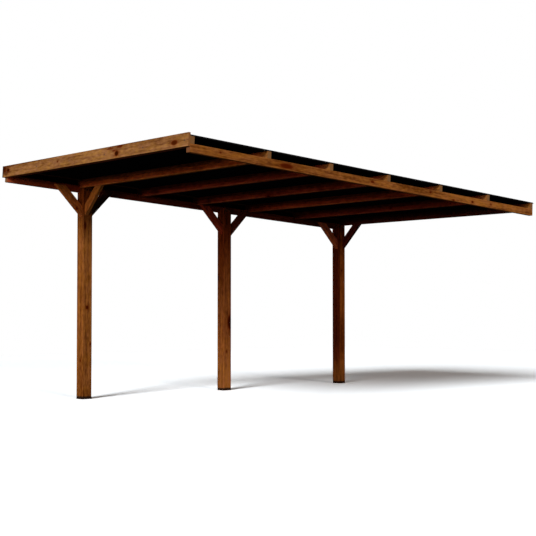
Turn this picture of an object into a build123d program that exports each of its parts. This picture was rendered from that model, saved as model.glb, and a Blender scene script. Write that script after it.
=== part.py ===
from build123d import *
import os
from math import cos, radians, sin

# Lean-to carport of stained softwood. Two long beams run down the slope, one on
# the wall and one on three posts. Cross joists are notched over the beams and
# carry black box-profile roof sheets that drain to the low rear end. Fascia
# boards close the high end and the post side.
#
# Frame: the origin is the centre of the wall beam's outer face. +X runs from the
# high front end to the low rear end, +Y from the wall to the posts, +Z is up.

# ---------------------------------------------------------------- sizes, in mm
# Roof plan and slope
roof_length = 5120.0        # beams, measured down the slope
roof_width = 3105.0         # wall face to the outer face of the post beam
roof_slope = 2.8            # degrees, falling towards the rear
front_clearance = 2330.0    # ground to the beams' underside at the front end

# Timber sections
beam_thickness = 50.0
beam_height = 75.0
joist_thickness = 45.0
joist_height = 90.0
joist_notch = 25.0          # depth that each joist end is let down over a beam
post_size = 120.0
brace_thickness = 45.0
brace_depth = 86.0
fascia_thickness = 22.0
fascia_height = 120.0
post_arris = 5.0            # radius planed on the long edges of a post
timber_arris = 3.0          # the same on the beams, joists and braces
fascia_arris = 2.0

# Spacing
post_count = 3
post_pitch = 2044.0         # from post to post, level
rear_post_inset = 0.0       # beams' rear end to the rear post's rear face, level
joist_pitch = 838.0         # the evenly spaced joists, counted from the rear end
even_joists = 5

# Braces rise at 45 degrees and finish level with the joists' underside
brace_angle = 45.0
beam_brace_drop = 270.0     # beams' underside to the lower end of a beam brace
middle_rear_drop = 301.0    # the same for the middle post's rear brace, set lower
cross_brace_drop = 256.0    # the same for a cross brace
front_cross_offset = 18.0   # front cross brace, rearward of its joist's middle

# Box-profile sheets, with their ribs running down the slope
sheet_count = 3
sheet_gauge = 0.7
ribs_per_sheet = 8
rib_height = 15.0
rib_crown = 30.0            # width of the flat top of a rib
rib_flank = 12.0            # width that each sloping side of a rib takes up
sheet_overhang = 22.0       # past the last joist, at the low end
sheet_end_gap = 4.0         # from the fascia's back to the sheets, at the high end

# ------------------------------------------------------------- derived places
# The roof's own frame lies in the slope, with the same origin. Heights in it
# are measured square to the slope from the wall beam's centre line.
roof = Rot(0, roof_slope, 0)
slope_axis = Axis((0, 0, 0), (cos(radians(roof_slope)), 0, -sin(radians(roof_slope))))
front_end = -roof_length / 2
rear_end = roof_length / 2
beam_underside = -beam_height / 2
beam_top = beam_height / 2
joist_underside = beam_top - joist_notch
joist_top = joist_underside + joist_height
post_beam_inner = roof_width - beam_thickness


def in_world(along, height):
    """Level X and plumb Z of a point given along and square to the slope."""
    place = (roof * Pos(along, 0, height)).position
    return place.X, place.Z


def along_slope(x, height):
    """Place along the slope of the point that is level X x at this height."""
    return (x - height * sin(radians(roof_slope))) / cos(radians(roof_slope))


ground = in_world(front_end, beam_underside)[1] - front_clearance
joist_plane = Plane(roof * Pos(0, 0, joist_underside))

rear_post_x = in_world(rear_end, beam_underside)[0] - rear_post_inset - post_size / 2
post_x = [rear_post_x - post_pitch * step for step in range(post_count)][::-1]
post_y = roof_width - post_size / 2


# ------------------------------------------------------------------ the pieces
def block(x, y, z):
    """A block in the roof's frame, from three (low, high) pairs."""
    size = [high - low for low, high in (x, y, z)]
    corner = Pos(x[0], y[0], z[0])
    return roof * corner * Box(*size, align=(Align.MIN, Align.MIN, Align.MIN))


def planed(piece, grain, arris):
    """The piece with the edges that run along its grain rounded."""
    return fillet(piece.edges().filter_by(grain), arris)


def make_beam(inner, outer):
    """A long beam on edge, between two distances from the wall."""
    beam = block((front_end, rear_end), (inner, outer), (beam_underside, beam_top))
    return planed(beam, slope_axis, timber_arris)


def make_post(x):
    """A square post. Its outer side is cut back to seat the post beam, and its
    inner side runs on up to the joists' underside."""
    head = in_world(front_end, joist_top)[1]
    post = Pos(x, post_y, ground) * Box(
        post_size, post_size, head - ground, align=(Align.CENTER, Align.CENTER, Align.MIN)
    )
    post = planed(post, Axis.Z, post_arris)
    post = split(post, bisect_by=joist_plane, keep=Keep.BOTTOM)
    seat = block(
        (front_end - post_size, rear_end + post_size),
        (post_beam_inner, roof_width + post_size),
        (beam_underside, joist_top),
    )
    return post - seat


def make_joist(front_face):
    """A cross joist on edge, notched over both beams and flush with their outer
    faces."""
    across = (front_face, front_face + joist_thickness)
    joist = block(across, (0, roof_width), (joist_underside, joist_top))
    joist = planed(joist, Axis.Y, timber_arris)
    wall_notch = block(across, (0, beam_thickness), (joist_underside, beam_top))
    post_notch = block(across, (post_beam_inner, roof_width), (joist_underside, beam_top))
    return joist - wall_notch - post_notch


def make_brace(foot, heading):
    """A brace that rises from foot, its lower end cut plumb against the post and
    its upper end cut level with the joists' underside. heading is the compass
    turn of the way it leans, in degrees from +X towards +Y."""
    blank = 4 * (beam_brace_drop + beam_height)  # runs well past both cuts
    bar = Box(blank, brace_thickness, brace_depth, align=(Align.CENTER, Align.CENTER, Align.MIN))
    bar = planed(bar, Axis.X, timber_arris)
    bar = Pos(*foot) * Rot(0, 0, heading) * Rot(0, -brace_angle, 0) * bar
    lean = (cos(radians(heading)), sin(radians(heading)), 0)
    bar = split(bar, bisect_by=Plane(origin=foot, z_dir=lean), keep=Keep.TOP)
    return split(bar, bisect_by=joist_plane, keep=Keep.BOTTOM)


def sheet_profile(start, pitch, raised_last):
    """Section of one sheet, as a closed outline in (distance from the wall,
    height). Its ribs stand on a flat pan. The last rib of a sheet that laps the
    next one is raised by the gauge, and its last side ends half way down."""
    low = joist_top
    points = []
    for rib in range(ribs_per_sheet + 1):
        lift = sheet_gauge if raised_last and rib == ribs_per_sheet else 0.0
        spread = rib_flank * lift / rib_height
        foot = start + rib * pitch
        if rib > 0:
            points.append((foot - spread, low))
        else:
            points.append((foot, low))
        points.append((foot + rib_flank, low + rib_height + lift))
        points.append((foot + rib_flank + rib_crown, low + rib_height + lift))
        if rib == ribs_per_sheet:
            points.append((foot + 1.5 * rib_flank + rib_crown, low + rib_height / 2 + lift))
        else:
            points.append((foot + 2 * rib_flank + rib_crown, low))
    upper = [(y, z + sheet_gauge) for y, z in reversed(points)]
    return points + upper


def make_sheet(start, pitch, raised_last):
    """One roof sheet, its section carried down the slope."""
    outline = sheet_profile(start, pitch, raised_last)
    high_end = front_end + sheet_end_gap
    run = rear_end + sheet_overhang - high_end
    section = make_face(Polyline([(high_end, y, z) for y, z in outline], close=True))
    return roof * extrude(section, amount=run, dir=(1, 0, 0))


pieces = {}

# Beams
pieces["wall_beam"] = make_beam(0, beam_thickness)
pieces["post_beam"] = make_beam(post_beam_inner, roof_width)

# Posts
post_names = ["front_post", "middle_post", "rear_post"]
for name, x in zip(post_names, post_x):
    pieces[name] = make_post(x)

# Joists: one at the front end, one flush with the front post's front face, and
# the rest evenly spaced from the rear end
front_post_face = post_x[0] - post_size / 2
joist_faces = [front_end, along_slope(front_post_face, joist_underside)]
for step in reversed(range(even_joists)):
    joist_faces.append(rear_end - joist_thickness - step * joist_pitch)
for number, face in enumerate(joist_faces, start=1):
    pieces[f"joist_{number}"] = make_joist(face)

# Beam braces lie against the post beam's inner face
brace_y = post_beam_inner - brace_thickness / 2


def beam_brace(x, heading, drop=beam_brace_drop):
    """A brace from one side of the post at x up along the post beam."""
    side = post_size / 2 * cos(radians(heading))
    foot = in_world(along_slope(x, beam_underside), beam_underside)[1] - drop
    return make_brace((x + side, brace_y, foot), heading)


pieces["front_post_front_brace"] = beam_brace(post_x[0], 180)
pieces["front_post_rear_brace"] = beam_brace(post_x[0], 0)
pieces["middle_post_front_brace"] = beam_brace(post_x[1], 180)
pieces["middle_post_rear_brace"] = beam_brace(post_x[1], 0, middle_rear_drop)
pieces["rear_post_front_brace"] = beam_brace(post_x[2], 180)


def cross_brace(x, joist_face, offset=0.0):
    """A brace from the wall side of the post at x up to the joist above it."""
    middle = in_world(joist_face + joist_thickness / 2, joist_underside)[0] + offset
    foot = in_world(along_slope(x, beam_underside), beam_underside)[1] - cross_brace_drop
    return make_brace((middle, roof_width - post_size, foot), -90)


pieces["front_post_cross_brace"] = cross_brace(post_x[0], joist_faces[1], front_cross_offset)
pieces["rear_post_cross_brace"] = cross_brace(post_x[2], joist_faces[-1])

# Fascia across the high end and down the post side, with their lower edges level
# with the joists' underside. The front one butts against the side one.
fascia_band = (joist_underside, joist_underside + fascia_height)
fascia_front = front_end - fascia_thickness
front_board = block((fascia_front, front_end), (0, roof_width), fascia_band)
side_board = block(
    (fascia_front, rear_end), (roof_width, roof_width + fascia_thickness), fascia_band
)
pieces["front_fascia"] = planed(front_board, Axis.Y, fascia_arris)
pieces["side_fascia"] = planed(side_board, slope_axis, fascia_arris)

# Roof sheets, from the wall to the posts, each lapping the next by one rib
rib_width = rib_crown + 2 * rib_flank
sheet_names = ["roof_sheet_wall_side", "roof_sheet_middle", "roof_sheet_post_side"]
sheet_cover = (roof_width - rib_width) / sheet_count
rib_pitch = sheet_cover / ribs_per_sheet
for number, name in enumerate(sheet_names):
    laps_next = number < sheet_count - 1
    pieces[name] = make_sheet(number * sheet_cover, rib_pitch, laps_next)

os.makedirs("parts", exist_ok=True)
for name, piece in pieces.items():
    export_step(piece, f"parts/{name}.step")
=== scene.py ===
from math import cos, pi, radians, sin

import bpy
import numpy as np
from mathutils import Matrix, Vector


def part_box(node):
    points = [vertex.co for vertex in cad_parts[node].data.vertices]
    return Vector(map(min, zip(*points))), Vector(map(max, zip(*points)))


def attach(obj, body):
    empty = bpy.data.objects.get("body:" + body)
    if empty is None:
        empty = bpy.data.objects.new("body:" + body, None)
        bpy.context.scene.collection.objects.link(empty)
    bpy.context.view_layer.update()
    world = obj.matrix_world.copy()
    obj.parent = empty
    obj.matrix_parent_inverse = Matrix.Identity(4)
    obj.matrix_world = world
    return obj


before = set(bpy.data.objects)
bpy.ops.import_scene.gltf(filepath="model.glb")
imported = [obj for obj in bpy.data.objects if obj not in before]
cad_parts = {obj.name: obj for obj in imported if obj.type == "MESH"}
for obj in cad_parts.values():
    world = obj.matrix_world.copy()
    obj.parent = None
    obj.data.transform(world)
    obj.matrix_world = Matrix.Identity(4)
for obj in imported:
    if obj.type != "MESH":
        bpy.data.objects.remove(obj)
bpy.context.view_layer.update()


# ---------------------------------------------------------------------- posts
# Three posts of planed softwood, 120 mm square, with a brushed brown stain. The
# heart runs inside each one, so its growth rings show as bands and arches. The
# stain lies unevenly. Over it the heads are painted darker and redder, as painted
# shade under the roof, and bands lower down paler, as painted light. The rear
# post's redder stain and its dark front face are painted shade too. A near-black
# band at each foot is painted contact shadow.

class Field:
    """A node socket that is written like a number. Arithmetic on it adds Math
    nodes, and node() adds any other kind of node."""

    def __init__(self, tree, socket=None):
        self.tree, self.socket = tree, socket

    def node(self, kind, settings=None, out=0, **sockets):
        """Adds a node, first its settings and then its sockets, and gives the
        output with the number out. A socket goes by its name, with _ for each
        space, or by _ and its number."""
        made = self.tree.nodes.new("ShaderNode" + kind)
        for name, value in (settings or {}).items():
            setattr(made, name, value)
        for name, value in sockets.items():
            key = int(name[1:]) if name[0] == "_" else name.replace("_", " ")
            if isinstance(value, Field):
                self.tree.links.new(value.socket, made.inputs[key])
            else:
                made.inputs[key].default_value = value
        return Field(self.tree, made.outputs[out])

    def maths(self, operation, *others):
        """A Math node with this as its first number."""
        values = {f"_{number}": value for number, value in enumerate((self, *others))}
        return self.node("Math", {"operation": operation}, **values)

    def __add__(self, other): return self.maths("ADD", other)
    def __sub__(self, other): return self.maths("SUBTRACT", other)
    def __mul__(self, other): return self.maths("MULTIPLY", other)
    def __truediv__(self, other): return self.maths("DIVIDE", other)
    def __pow__(self, other): return self.maths("POWER", other)
    def __rsub__(self, other): return self * -1.0 + other
    __radd__ = __add__
    __rmul__ = __mul__

    def output(self, name):
        """Another output of the same node."""
        return Field(self.tree, self.socket.node.outputs[name])

    def parts(self):
        """The three numbers of a vector."""
        made = self.node("SeparateXYZ", Vector=self)
        return [made.output(axis) for axis in "XYZ"]

    def vector(self, operation, other):
        """A Vector Math node with this as its first vector."""
        return self.node("VectorMath", {"operation": operation}, _0=self, _1=other)

    def reach(self, way):
        """How far the vector goes along a direction of length 1."""
        return self.vector("DOT_PRODUCT", way).output("Value")

    def length(self):
        """The vector's own length."""
        return self.node("VectorMath", {"operation": "LENGTH"}, _0=self).output("Value")

    def fade(self, full, none):
        """1 up to full, 0 from none on, and a smooth step between them."""
        return self.node("MapRange", {"interpolation_type": "SMOOTHSTEP"}, Value=self,
                         From_Min=full, From_Max=none, To_Min=1.0, To_Max=0.0)

    def clamp(self):
        """The number, held between 0 and 1."""
        return self.maths("MAXIMUM", 0.0).maths("MINIMUM", 1.0)

    def mix(self, under, over):
        """A colour: under where this is 0, and over where it is 1."""
        return self.node("Mix", {"data_type": "RGBA"}, out=2, _0=self, _6=under, _7=over)

    def noise(self, stretch, shift, detail, roughness):
        """Cloudy noise about 0, with about stretch clouds to the metre each way,
        moved by shift."""
        place = self.vector("MULTIPLY", stretch).vector("ADD", shift)
        return self.node("TexNoise", Vector=place, Scale=1.0, Detail=detail,
                         Roughness=roughness) - 0.5

    def into(self, shader, socket):
        """Leads this into a shader's socket."""
        self.tree.links.new(self.socket, shader.inputs[socket])


def new_material(name):
    """An empty material: its field, its surface shader and itself."""
    made = bpy.data.materials.new(name)
    made.use_nodes = True
    return Field(made.node_tree), made.node_tree.nodes["Principled BSDF"], made


def finish(node, made):
    """Gives a CAD node its material."""
    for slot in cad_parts[node].material_slots:
        slot.material = made


def shade(colour, *amounts):
    """A colour with each of its parts multiplied by its amount."""
    amounts = amounts if len(amounts) == 3 else amounts * 3
    return (*(part * amount for part, amount in zip(colour, amounts)), 1.0)


def turned_axes(turn):
    """The piece's along, across and up directions: the columns of its turn, which
    is about X, then Y, then Z. A turn about one axis mixes the next two."""
    axes = np.eye(3)
    for axis, angle in enumerate(turn):
        first, second = (axis + 1) % 3, (axis + 2) % 3
        step = np.eye(3)
        step[first, first] = step[second, second] = cos(angle)
        step[second, first], step[first, second] = sin(angle), -sin(angle)
        axes = step @ axes
    return [tuple(axes[:, way]) for way in range(3)]


def stained_wood(node, turn, stain, end_stain, pith, seed, knots=(), patches=(), wild=0.35,
                 ring_width=0.0055, contrast=1.0, wear_and_highlight=0.3, coats_and_painted_light=(), foot_contact_shadow=False):
    """Stained softwood on one CAD node. turn is the piece's grain direction, as the
    turn from +X. Inside the piece a place has three lengths in metres: along the
    grain, across it, and up.
    A growth ring lies where the distance from the pith line, plus a slow sway, is
    a whole number of ring widths. A knot is darker wood round a point, and it
    pushes the rings aside. knots are (along, across, up, radius, length over
    width, darkness), and wild is the share of the half-metre lengths that hold
    one more. patches are (along, across, up, half length, half width, change of
    tone), where the tone is lighter or darker: some are uneven stain, and some are
    painted light and shade. coats are other colours laid over the stain, most of
    them painted light and shade, as (colour, way, full, gone): the way that a
    length is taken inside the piece, and the lengths where the coat is full and
    where it has gone."""
    low, high = (np.array(corner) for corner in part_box(node))
    field, shader, made = new_material(node + "_stained_wood")
    here = field.node("TexCoord").output("Object")
    here = field.node("Mapping", {"vector_type": "TEXTURE"}, Vector=here,
                      Location=tuple((low + high) / 2), Rotation=turn)
    along, across, up = here.parts()

    # knots: a dark heart, and a halo that reaches about three radii out
    cell = (2.1, 8.0, 8.0)
    scaled = here.vector("MULTIPLY", cell).vector("ADD", (seed * 5.3, seed * 1.7, seed * 2.9))
    voronoi = field.node("TexVoronoi", Vector=scaled, Scale=1.0, Randomness=0.9)
    chance, size, _ = voronoi.output("Color").parts()
    away = voronoi.output("Position").vector("SUBTRACT", scaled).vector("DIVIDE", cell)
    away = away.vector("MULTIPLY", (0.6, 1.0, 1.0)).length() / (0.006 + size * 0.012)
    present = chance.maths("LESS_THAN", wild) * (0.4 + size * 0.5)
    heart, halo = away.fade(0.6, 1.2) * present, away.fade(0.8, 3.0) * present
    for *place, radius, longer, darkness in knots:
        away = here.vector("SUBTRACT", tuple(place))
        away = away.vector("MULTIPLY", (1 / longer, 1.0, 1.0)).length() * (1 / radius)
        heart = heart.maths("MAXIMUM", away.fade(0.5, 1.2) * darkness)
        halo = halo.maths("MAXIMUM", away.fade(0.8, 2.6) * darkness)

    # growth rings, dark in their late wood, with their bends in metres
    widest_sway, drift, pushed_aside = 0.034, 0.005, 0.010
    sway = here.noise((1.5, 6.0, 6.0), (seed, seed, 0.0), 2.5, 0.55)
    ring = ((across - pith[0]) ** 2.0 + (up - pith[1]) ** 2.0).maths("SQRT")
    ring = ring + sway * widest_sway + along * drift + halo * pushed_aside
    ring = ring * (1 / ring_width)
    late = ring.maths("FRACT") ** 2.6

    # the stain, in long streaks, short flecks, broad blotches and mottle, over
    # fine fibres
    streak = here.noise((1.7, 40.0, 40.0), (seed * 2.0, seed, seed * 3.0), 5.0, 0.62)
    fleck = here.noise((11.0, 90.0, 90.0), (seed, 0.0, seed), 3.0, 0.65)
    blotch = here.noise((2.0, 7.0, 7.0), (0.0, seed * 4.0, seed), 2.0, 0.5)
    mottle = here.noise((17.0, 46.0, 46.0), (seed, seed * 2.0, 0.0), 3.0, 0.6)
    fibre = here.noise((14.0, 380.0, 380.0), (0.0, 0.0, 0.0), 2.0, 0.6)
    middle_tone = 0.54
    uneven = streak * 2.2 + mottle * 1.5 + fleck * 1.2 + blotch + fibre * 0.5
    tone = middle_tone + uneven * contrast
    # patches: tone lighter or darker in places, some of it painted light and shade
    for *place, half_length, half_width, change in patches:
        away = here.vector("SUBTRACT", tuple(place)).vector(
            "DIVIDE", (half_length, half_width, half_width)).length()
        tone = tone + away.fade(0.35, 1.0) * change

    # the long edges, paler where they are rounded: partly wear, partly a painted highlight
    grain_way, across_way, up_way = turned_axes(turn)
    normal = field.node("NewGeometry").output("Normal")
    rounded = (normal.reach(across_way) * normal.reach(up_way)).maths("ABSOLUTE")
    tone = (tone + (1.0 - rounded.fade(0.12, 0.4)) * wear_and_highlight).clamp()
    colour = tone.mix(shade(stain, 0.50, 0.42, 0.34), shade(stain, 1.48, 1.62, 1.74))
    # coats laid over the stain, most of them painted light and shade
    for other, way, full, gone in coats_and_painted_light:
        laid_over = tone.mix(shade(other, 0.50, 0.45, 0.40), shade(other, 1.40, 1.45, 1.50))
        colour = here.reach(way).fade(full, gone).mix(colour, laid_over)

    # golden patches, late wood, and the knots
    golden = here.noise((9.0, 30.0, 30.0), (seed * 3.0, 0.0, seed), 3.0, 0.6)
    golden_wood = colour.vector("MULTIPLY", (1.06, 1.08, 0.60))
    colour = (0.4 + golden * 3.0).clamp().mix(colour, golden_wood)
    late_wood = colour.vector("MULTIPLY", (0.52, 0.46, 0.42))
    colour = (late * 0.45).mix(colour, late_wood)
    halo_wood = colour.vector("MULTIPLY", (0.60, 0.38, 0.28))
    colour = (halo * 0.6).mix(colour, halo_wood)
    colour = (heart * 2.0).clamp().mix(colour, shade(stain, 0.42, 0.155, 0.05))
    colour = (heart * 2.0 - 1.0).clamp().mix(colour, shade(stain, 0.12, 0.05, 0.01))

    # sawn ends, where the rings show as arcs on duller wood
    side = normal.reach(grain_way).maths("ABSOLUTE").fade(0.80, 0.95)
    ends = (late * 0.55 + fibre * 0.5 + fleck).clamp().mix(
        shade(end_stain, 1.12), shade(end_stain, 0.55, 0.5, 0.45))
    colour = side.mix(ends, colour)
    # a near-black band at the foot: painted contact shadow
    if foot_contact_shadow:
        contact_shadow_black = (0.012, 0.008, 0.006, 1)
        foot = (along + (high[2] - low[2]) / 2 + fleck * 0.02).fade(0.024, 0.040)
        colour = (foot * 0.93).mix(colour, contact_shadow_black)
    colour.into(shader, "Base Color")
    (0.70 + streak * 0.12 - late * 0.05).into(shader, "Roughness")
    shader.inputs["Specular IOR Level"].default_value = 0.0
    height = fibre * 0.5 + fleck * 0.3 + late * 0.4 - heart * 0.6
    bump = field.node("Bump", Height=height, Strength=0.4, Distance=0.0008)
    bump.into(shader, "Normal")
    finish(node, made)


brown = (0.240, 0.082, 0.0200)
sawn_end = (0.235, 0.121, 0.048)
upright = (0.0, -pi / 2, 0.0)
along_grain, across_grain, up_grain = (1, 0, 0), (0, 1, 0), (0, 0, 1)
# Front post: its head is painted darker and redder, as painted shade under the roof, and its
# foot band is painted contact shadow.
stained_wood(
    "front_post", upright, brown, sawn_end, pith=(0.012, -0.018), seed=1.7, foot_contact_shadow=True,
    knots=[(0.747, -0.06, 0.035, 0.016, 3.0, 0.75), (-0.158, -0.06, 0.004, 0.019, 1.3, 0.8),
           (-0.567, -0.06, -0.043, 0.013, 1.8, 0.5), (-0.743, -0.013, 0.06, 0.013, 1.4, 0.6),
           (0.20, 0.06, 0.01, 0.015, 1.4, 0.8), (-0.30, 0.02, -0.06, 0.013, 1.5, 0.7)],
    patches=[(-1.12, 0.0, 0.06, 0.35, 0.16, -0.3)],
    coats_and_painted_light=[(shade(brown, 0.95, 0.78, 0.7), along_grain, 1.1, 0.8)])
# Middle post: its upper half is painted darker and redder, as painted shade under the roof, and
# its lower part paler, as painted light; its foot band is painted contact shadow.
stained_wood(
    "middle_post", upright, shade(brown, 0.99, 0.88, 0.95), sawn_end, pith=(-0.016, 0.012),
    seed=4.4, foot_contact_shadow=True,
    knots=[(-0.285, -0.06, -0.040, 0.040, 2.4, 0.9), (-0.642, -0.06, 0.014, 0.012, 1.6, 0.4),
           (0.26, 0.045, 0.06, 0.014, 2.4, 0.8), (0.1, 0.06, -0.02, 0.016, 1.4, 0.8)],
    patches=[(-1.0, -0.09, -0.02, 0.4, 0.11, 0.45)],
    coats_and_painted_light=[(shade(brown, 0.80, 0.50, 0.5), along_grain, 0.85, 0.0),
           (shade(brown, 1.06, 1.06, 1.2), along_grain, -0.95, -0.45)])
# Rear post: the redder stain, the darker head and the dark front face are painted shade, and the
# pale band below the head is painted light. The lowest part gets one colour all round, which
# lifts the front face's painted shade there, and its foot band is painted contact shadow.
stained_wood(
    "rear_post", upright, shade(brown, 1.10, 0.84, 0.66), sawn_end, pith=(0.008, 0.02),
    seed=7.9, foot_contact_shadow=True,
    knots=[(0.45, -0.06, 0.01, 0.012, 1.5, 0.5)],
    patches=[(-0.47, -0.06, 0.0, 0.36, 0.08, -0.5)],
    coats_and_painted_light=[(shade(brown, 1.65, 1.30, 0.95), along_grain, 0.75, 0.30),
           (shade(brown, 0.85, 0.60, 0.6), along_grain, 1.02, 0.92),
           ((0.116, 0.0200, 0.0066), up_grain, 0.050, 0.030),
           (shade(brown, 0.80, 0.76, 0.70), along_grain, -1.0, -0.65)])


# ---------------------------------------------------------------------- beams
# Two long beams of the same softwood on edge, 50 by 75 mm. One is fixed to the
# wall through its face, the other lies in the post heads. That one is redder,
# which is painted shade under the roof, and it is painted paler towards the front
# end as painted light and darker towards the rear end as painted shade.

roof_slope = radians(2.8)
down_slope = (0.0, roof_slope, 0.0)
stained_wood(
    "wall_beam", down_slope, (0.270, 0.093, 0.0235), (0.18, 0.077, 0.032),
    pith=(0.055, -0.03), seed=3.1, contrast=1.1,
    knots=[(-1.413, -0.025, -0.003, 0.025, 3.8, 0.66), (-2.218, -0.025, 0.007, 0.009, 1.5, 0.6),
           (-0.223, -0.025, 0.002, 0.014, 2.2, 0.55), (0.688, -0.025, 0.008, 0.013, 1.5, 0.65),
           (1.08, -0.025, -0.030, 0.012, 2.0, 0.5), (1.414, -0.025, -0.010, 0.015, 1.6, 0.6),
           (1.75, -0.025, 0.0, 0.013, 1.8, 0.4)],
    patches=[(-1.6, -0.03, 0.0, 0.9, 0.1, -0.15), (0.45, -0.03, 0.0, 0.5, 0.1, -0.25),
             (1.7, -0.03, 0.0, 1.1, 0.1, 0.15)],
    coats_and_painted_light=[((0.50, 0.19, 0.065), up_grain, -0.0368, -0.0335)])
# Post beam: a red stain that paints the roof's shade, paler towards the front end as painted
# light and darker towards the rear end as painted shade.
stained_wood(
    "post_beam", down_slope, (0.21, 0.036, 0.019), (0.20, 0.10, 0.045), pith=(-0.05, 0.06),
    seed=8.3, wear_and_highlight=0.0,
    coats_and_painted_light=[((0.40, 0.080, 0.030), along_grain, -2.4, -0.2),
           ((0.12, 0.022, 0.013), along_grain, 2.4, 1.0)])


# --------------------------------------------------------------------- joists
# Seven joists of 45 by 90 mm, each notched over both beams, with a redder stain
# than the posts, the extra red being painted shade under the roof. Their lower
# edges are painted pale, a painted highlight of light from below. Their ends over
# the wall beam are painted paler, as painted light from the wall side, and a patch
# below that darker, as painted shade of the wall beam. Each joist's stain paints
# how lit it is: the one at the front post is pale, as painted light, the rear ones
# darker, and the last one's inner face dark, as painted shade.

cross_slope = (roof_slope, 0.0, pi / 2)
# The red stain and each joist's own stain paint how shaded or lit the joist is.
redder = (0.27, 0.047, 0.022)
joist_lit_and_shaded_stains = [redder, (0.46, 0.115, 0.032), redder, redder, (0.31, 0.057, 0.021),
                (0.20, 0.033, 0.016), (0.20, 0.040, 0.018)]
# painted light on each end over the wall beam, and painted shade on the last joist's inner face
lit_wall_end = ((0.245, 0.100, 0.031), along_grain, -1.52, -1.38)
shaded_face = ((0.085, 0.019, 0.013), across_grain, 0.018, 0.010)
for number, stain in enumerate(joist_lit_and_shaded_stains, start=1):
    # a painted highlight along the lower edge, as light from below
    lit_lower_edge = (shade(stain, 1.3, 2.0, 2.2), up_grain, -0.042, -0.032)
    last = number == len(joist_lit_and_shaded_stains)
    stained_wood(f"joist_{number}", cross_slope, stain, sawn_end,
                 pith=(0.04 - 0.02 * (number % 3), 0.09 - 0.022 * number),
                 seed=2.9 * number + 0.6,
                 # the patch is painted shade below the wall beam
                 patches=[(-1.17, 0.0225, -0.025, 0.32, 0.06, -0.4)],
                 coats_and_painted_light=[lit_lower_edge, shaded_face, lit_wall_end] if last else [lit_lower_edge, lit_wall_end])


# --------------------------------------------------------------------- braces
# Seven stays of 45 mm timber at 45 degrees, screwed to the posts, the post beam
# and the joists. Each one's stain paints how lit it is: the two at the front are
# the palest, as painted light, and those deep in the roof's shade are darker, as
# painted shade, with the front post's rear brace and the rear post's cross brace
# almost black.

def lean_of(brace):
    """The way that a brace leans, as the turn from +X towards +Y."""
    leans = {"rear_brace": 0.0, "front_brace": pi, "cross_brace": -pi / 2}
    return next(lean for ending, lean in leans.items() if brace.endswith(ending))


# each brace's stain paints how lit or shaded it sits
brace_lit_and_shaded_stains = {
    "front_post_front_brace": (0.56, 0.205, 0.058),
    "front_post_cross_brace": (0.48, 0.200, 0.052),
    "front_post_rear_brace": (0.13, 0.040, 0.024),
    "middle_post_front_brace": (0.38, 0.058, 0.028),
    "middle_post_rear_brace": (0.17, 0.038, 0.026),
    "rear_post_front_brace": (0.62, 0.155, 0.078),
    "rear_post_cross_brace": (0.085, 0.016, 0.016)}
brace_knots = {"front_post_front_brace": [(-0.13, 0.0225, 0.012, 0.015, 1.4, 0.6)],
               "front_post_cross_brace": [(0.12, 0.0225, 0.0, 0.012, 1.5, 0.5)]}
for number, (name, stain) in enumerate(brace_lit_and_shaded_stains.items()):
    stained_wood(name, (0.0, -pi / 4, lean_of(name)), stain, sawn_end, pith=(-0.05, 0.04),
                 seed=3.3 * number + 1.1, knots=brace_knots.get(name, ()))


# -------------------------------------------------------------- fascia boards
# Boards of 22 by 120 mm across the high end and down the post side, of the same
# stain on paler wood, with one large branching knot in the front one. The front
# board is painted darker along most of its top edge, as painted shade. The side
# board's inner face is painted near black, as painted shade under the roof.

tan = (0.284, 0.130, 0.050)
stained_wood(
    "front_fascia", cross_slope, tan, (0.27, 0.117, 0.039), pith=(-0.012, -0.035),
    seed=6.2, wild=0.2, ring_width=0.010, contrast=0.85,
    knots=[(1.459, 0.011, 0.009, 0.020, 1.5, 1.0), (1.535, 0.011, 0.030, 0.026, 1.2, 0.9),
           (0.506, 0.011, 0.007, 0.009, 1.5, 0.6), (-0.497, 0.011, -0.016, 0.027, 1.2, 1.0),
           (-1.357, 0.011, -0.012, 0.024, 2.0, 0.80), (-0.545, 0.011, 0.046, 0.016, 3.2, 0.60),
           (-0.39, 0.011, 0.038, 0.011, 6.0, 0.42), (-0.455, 0.011, 0.014, 0.011, 3.0, 0.45)],
    # the patches at up 0.058 to 0.063 are painted shade along the top edge
    patches=[(-0.47, 0.011, 0.040, 0.22, 0.050, -0.35), (1.50, 0.011, 0.0, 0.07, 0.06, -1.0),
             (1.0, 0.011, 0.062, 0.8, 0.018, -0.9), (-0.6, 0.011, 0.063, 0.9, 0.016, -0.7),
             (1.45, 0.011, 0.058, 0.2, 0.030, -0.9)])
stained_wood("side_fascia", down_slope, tan, (0.038, 0.016, 0.005), pith=(-0.03, 0.1), seed=9.4,
             ring_width=0.010, contrast=1.2,
             # the inner face is painted near black, as painted shade under the roof
             coats_and_painted_light=[((0.020, 0.006, 0.004), across_grain, -0.010, -0.007)])


# ---------------------------------------------------------------- roof sheets
# Three lapped sheets of steel, 0.7 mm thick, rolled to a box profile. The top
# has a black satin coat and the underside a dull black backing coat. The side
# that meets the wall is dull too, where its sealing strip was pressed on.

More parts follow.
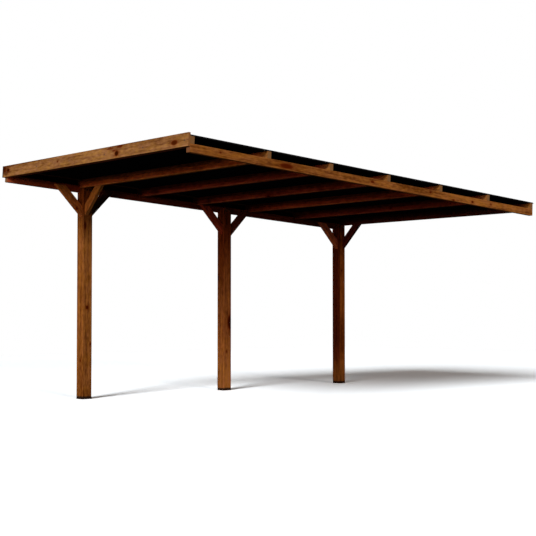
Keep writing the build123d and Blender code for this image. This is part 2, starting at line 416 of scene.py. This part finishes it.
field, coated, black_steel = new_material("black_coated_steel")
here = field.node("TexCoord").output("Object")
cloud = here.noise((1.8, 1.8, 1.8), (0.0, 0.0, 0.0), 3.0, 0.5)
dust = here.noise((9.0, 60.0, 60.0), (3.0, 1.0, 0.0), 4.0, 0.6)
clean_black, dusty_black = (0.006, 0.006, 0.0065, 1), (0.012, 0.012, 0.0125, 1)
(0.5 + cloud + dust).clamp().mix(clean_black, dusty_black).into(coated, "Base Color")
strip_width = 0.0125
facing_up = field.node("NewGeometry").output("Normal").parts()[2].maths("GREATER_THAN", 0.2)
satin = facing_up * here.parts()[1].maths("GREATER_THAN", strip_width)
(0.85 - satin * 0.25 + dust * 0.15).into(coated, "Roughness")
(satin * 0.16).into(coated, "Coat Weight")
coated.inputs["Coat Roughness"].default_value = 0.42
coated.inputs["Specular IOR Level"].default_value = 0.0
for name in ("roof_sheet_wall_side", "roof_sheet_middle", "roof_sheet_post_side"):
    finish(name, black_steel)


# ---------------------------------------------------------------- roof screws
# Self-drilling screws with a hexagon head and a bonded washer, painted black like
# the sheets. They go through every second pan into each joist.

def turned(outline, sides, places, way):
    """Vertices of one turned shape that is repeated at each place, and its faces as
    an array of walls and one of ends. The outline's (radius, height) points are
    carried round a line that leaves the place the given way, at even angles: the
    radius times the spoke at that angle, plus the height times the way. A flat
    polygon closes each end."""
    radius, height = np.array(outline).T
    way = np.array(way, float) / np.linalg.norm(way)
    first = np.cross(way, (0.0, 1.0, 0.0) if abs(way[1]) < 0.9 else (1.0, 0.0, 0.0))
    first /= np.linalg.norm(first)
    second = np.cross(way, first)
    angle = np.arange(sides) * 2 * pi / sides
    spoke = np.outer(np.cos(angle), first) + np.outer(np.sin(angle), second)
    one = radius[:, None, None] * spoke + height[:, None, None] * way
    vertices = np.array(places, float)[:, None, :] + one.reshape(1, -1, 3)
    count, size = len(places), radius.size * sides
    ring, side = np.meshgrid(np.arange(radius.size - 1), np.arange(sides), indexing="ij")
    after = (side + 1) % sides
    walls = np.stack([ring * sides + side, ring * sides + after,
                      (ring + 1) * sides + after, (ring + 1) * sides + side], -1).reshape(-1, 4)
    shift = (np.arange(count) * size)[:, None, None]
    foot = np.arange(sides)[::-1] + shift[:, 0]
    top = np.arange(sides) + size - sides + shift[:, 0]
    return vertices.reshape(-1, 3), ((walls + shift).reshape(-1, 4), np.concatenate([foot, top]))


def fastener_piece(name, shapes, made):
    """One piece of fasteners, from several turned shapes laid end to end: the
    faces of each count on from the vertices before it."""
    vertices, faces, start = [], [], 0
    for points, arrays in shapes:
        for corners in arrays:
            faces += (corners + start).tolist()
        vertices.append(points)
        start += len(points)
    mesh = bpy.data.meshes.new(name)
    mesh.from_pydata(np.concatenate(vertices).tolist(), [], faces)
    mesh.materials.append(made)
    piece = bpy.data.objects.new(name, mesh)
    bpy.context.scene.collection.objects.link(piece)
    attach(piece, "root")


def in_roof(along, across, height):
    """The world place of a point in the roof's frame, in metres: along and height
    turned by the slope."""
    return (along * cos(roof_slope) + height * sin(roof_slope), across,
            height * cos(roof_slope) - along * sin(roof_slope))


field, head_paint, screw_paint = new_material("black_screw_paint")
here = field.node("TexCoord").output("Object")
wear = here.noise((900.0, 900.0, 900.0), (0.0, 0.0, 0.0), 2.0, 0.6)
fresh_black, rubbed_black = (0.008, 0.008, 0.0085, 1), (0.03, 0.03, 0.03, 1)
(0.5 + wear).clamp().mix(fresh_black, rubbed_black).into(head_paint, "Base Color")
(0.5 + wear * 0.3).into(head_paint, "Roughness")
head_paint.inputs["Specular IOR Level"].default_value = 0.2

roof_normal = in_roof(0.0, 0.0, 1.0)
joist_middle, pan_top = 0.0575, 0.1032
rib_pitch, rib_width = 0.127125, 0.054
joist_lines = []
for number in range(1, 8):
    low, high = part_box(f"joist_{number}")
    level = (low.x + high.x) / 2
    joist_lines.append((level - joist_middle * sin(roof_slope)) / cos(roof_slope))
pans = [rib_pitch * (2 * rib + 0.5) + rib_width / 2 for rib in range(12)]
screw_places = [in_roof(along, pan, pan_top) for along in joist_lines for pan in pans]
washer = [(0.0082, 0.0), (0.0082, 0.0010), (0.0068, 0.0022)]
hexagon = [(0.0046, 0.0018), (0.0046, 0.0062), (0.0040, 0.0070)]
fastener_piece("roof_screws", [turned(washer, 12, screw_places, roof_normal),
                               turned(hexagon, 6, screw_places, roof_normal)], screw_paint)


# ------------------------------------------------------- bolts and wall screws
# Two M10 coach bolts hold the post beam in each post's head, their domed heads
# outside and their nuts inside. Hexagon coach screws on broad washers fix the
# wall beam between the joists. All were stained over with the timber.

field, paint, brown_painted = new_material("brown_painted_steel")
here = field.node("TexCoord").output("Object")
cloud = here.noise((300.0, 300.0, 300.0), (0.0, 0.0, 0.0), 2.0, 0.6)
dark_brown, pale_brown = (0.050, 0.018, 0.007, 1), (0.105, 0.038, 0.013, 1)
(0.5 + cloud).clamp().mix(dark_brown, pale_brown).into(paint, "Base Color")
(0.6 + cloud * 0.25).into(paint, "Roughness")
paint.inputs["Specular IOR Level"].default_value = 0.06

bolt_height, bolt_offset = -0.010, 0.028
dome = [(0.0105, 0.0), (0.0103, 0.0012), (0.0092, 0.0030), (0.0068, 0.0044), (0.0034, 0.0052)]
broad_washer = [(0.0150, 0.0), (0.0150, 0.0022), (0.0144, 0.0028)]
nut = [(0.0098, 0.0026), (0.0098, 0.0100), (0.0084, 0.0108)]
thread = [(0.0049, 0.0100), (0.0049, 0.0165), (0.0042, 0.0172)]
outside, inside = [], []
for name in ("front_post", "middle_post", "rear_post"):
    low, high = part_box(name)
    for offset in (-bolt_offset, bolt_offset):
        x, y, z = in_roof((low.x + high.x) / 2 + offset, 0.0, bolt_height)
        outside.append((x, high.y, z))
        inside.append((x, low.y, z))
fastener_piece("post_bolts", [
    turned(dome, 16, outside, (0, 1, 0)), turned(broad_washer, 20, inside, (0, -1, 0)),
    turned(nut, 6, inside, (0, -1, 0)), turned(thread, 12, inside, (0, -1, 0))], brown_painted)

wall_beam_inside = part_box("wall_beam")[1].y
wall_screw_height = -0.004
wall_places = [in_roof((one + other) / 2, wall_beam_inside, wall_screw_height)
               for one, other in zip(joist_lines, joist_lines[1:])]
coach_head = [(0.0098, 0.0026), (0.0098, 0.0088), (0.0086, 0.0096)]
fastener_piece("wall_screws", [turned(broad_washer, 20, wall_places, (0, 1, 0)),
                               turned(coach_head, 6, wall_places, (0, 1, 0))], brown_painted)


# --------------------------------------------------------------- timber screws
# Countersunk star-drive screws, set flush and stained over. Two hold the head of
# a brace to the post beam, or one its head to a joist, and one rises through each
# foot. A row of broader black ones holds the front fascia to the joist behind it.

star_head = [(0.0046, -0.0010), (0.0050, 0.0003), (0.0044, 0.0007), (0.0024, 0.0007),
             (0.0021, -0.0006)]
half_plumb_depth = 0.061    # of a brace, from its underside to its middle
foot_rise, joist_end_gap, beam_screw_step = 0.032, 0.075, 0.014
shapes = []
for name in brace_lit_and_shaded_stains:
    low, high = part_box(name)
    lean_x, lean_y = round(cos(lean_of(name))), round(sin(lean_of(name)))
    rise = np.array([lean_x, lean_y, 1.0])
    if lean_x:
        toe = np.array([low.x if lean_x > 0 else high.x, (low.y + high.y) / 2, low.z])
        under_places = [toe + rise * foot_rise]
        beam_middle = in_roof(toe[0], 0.0, 0.0)[2]
        run = beam_middle - low.z - half_plumb_depth
        head = np.array([toe[0] + lean_x * run, low.y, beam_middle])
        step = np.array([lean_x, 0.0, -1.0]) * beam_screw_step
        shapes.append(turned(star_head, 12, [head + step, head - step], (0, -1, 0)))
    else:
        toe = np.array([(low.x + high.x) / 2, high.y, low.z])
        under_places = [toe + rise * foot_rise, toe + rise * (high.z - low.z - joist_end_gap)]
    shapes.append(turned(star_head, 12, under_places, (lean_x, lean_y, -1.0)))
fastener_piece("timber_screws", shapes, brown_painted)

fascia_face, fascia_screw_height = -2.582, 0.067
first_screw, last_screw, screw_count = 0.0535, 3.0515, 6
fascia_places = [in_roof(fascia_face, across, fascia_screw_height)
                 for across in np.linspace(first_screw, last_screw, screw_count)]
broader = 1.3
broad_head = [(radius * broader, height) for radius, height in star_head]
fastener_piece("fascia_screws", [
    turned(broad_head, 12, fascia_places, in_roof(-1.0, 0.0, 0.0))], screw_paint)


# ----------------------------------------------------- floor, light and camera
# A pale floor that the carport stands on, one broad key lamp from the high end,
# a weaker one from the wall side, two low ones that reach under the roof, one low
# behind it for the rear and post sides, and a white surround.

def seen_directly(tree):
    """1 where the camera sees the surround, also in gloss or through glass, and 0
    where it only lights the carport."""
    path = Field(tree).node("LightPath")
    return path.output("Is Camera Ray").maths("MAXIMUM", path.output("Is Glossy Ray")).maths(
        "MAXIMUM", path.output("Is Transmission Ray"))


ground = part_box("front_post")[0].z
edge = 14.0
floor_mesh = bpy.data.meshes.new("floor")
floor_mesh.from_pydata([(-edge, -edge, ground), (edge, -edge, ground),
                        (edge, edge, ground), (-edge, edge, ground)], [], [(0, 1, 2, 3)])
floor = bpy.data.objects.new("floor", floor_mesh)
bpy.context.scene.collection.objects.link(floor)
floor_material = bpy.data.materials.new("pale_floor")
floor_material.use_nodes = True
tree = floor_material.node_tree
tree.nodes.clear()
# The lamps are low and warm, so the colour that is seen lies above 1 and is bluish
thrown_back, seen = (0.07, 0.07, 0.07, 1), (2.57, 2.72, 2.83, 1)
colour = seen_directly(tree).mix(thrown_back, seen)
surface = colour.node("BsdfDiffuse", Color=colour)
surface.into(tree.nodes.new("ShaderNodeOutputMaterial"), "Surface")
floor_mesh.materials.append(floor_material)

world = bpy.data.worlds.new("surround")
bpy.context.scene.world = world
world.use_nodes = True
tree = world.node_tree
faint_light, white = (0.018, 0.0175, 0.017, 1), (1, 1, 1, 1)
seen_directly(tree).mix(faint_light, white).into(tree.nodes["Background"], "Color")


def sun(name, heading, height, strength, width, colour=(1, 1, 1)):
    """A distant lamp. heading is the way its light travels, from +X towards +Y, and
    height is how far above the horizon it stands, both in degrees."""
    lamp = bpy.data.lights.new(name, "SUN")
    lamp.energy, lamp.angle, lamp.color = strength, radians(width), colour
    made = bpy.data.objects.new(name, lamp)
    made.rotation_euler = (radians(90 - height), 0, radians(heading - 90))
    bpy.context.scene.collection.objects.link(made)


sun("key", heading=25, height=25.3, strength=2.35, width=17)
sun("side", heading=75, height=11.5, strength=0.88, width=12, colour=(1.0, 0.88, 0.80))
sun("low_front", heading=33, height=4, strength=0.58, width=9, colour=(1.0, 0.62, 0.45))
sun("horizon", heading=0, height=0, strength=0.31, width=4.5, colour=(1.0, 0.58, 0.44))
sun("behind", heading=218, height=1.0, strength=1.1, width=3, colour=(1.0, 0.93, 0.86))

camera_data = bpy.data.cameras.new("camera")
camera_data.lens, camera_data.sensor_width = 75.86, 36.0
camera_data.shift_x, camera_data.shift_y = 0.0046, 0.01265
camera_data.clip_end = 500.0
camera = bpy.data.objects.new("camera", camera_data)
camera.location = (-8.6295, -7.5082, -1.2835)
camera.rotation_euler = (radians(91.890), 0, radians(-42.803))
bpy.context.scene.collection.objects.link(camera)
bpy.context.scene.camera = camera
bpy.context.scene.view_settings.view_transform = "Standard"
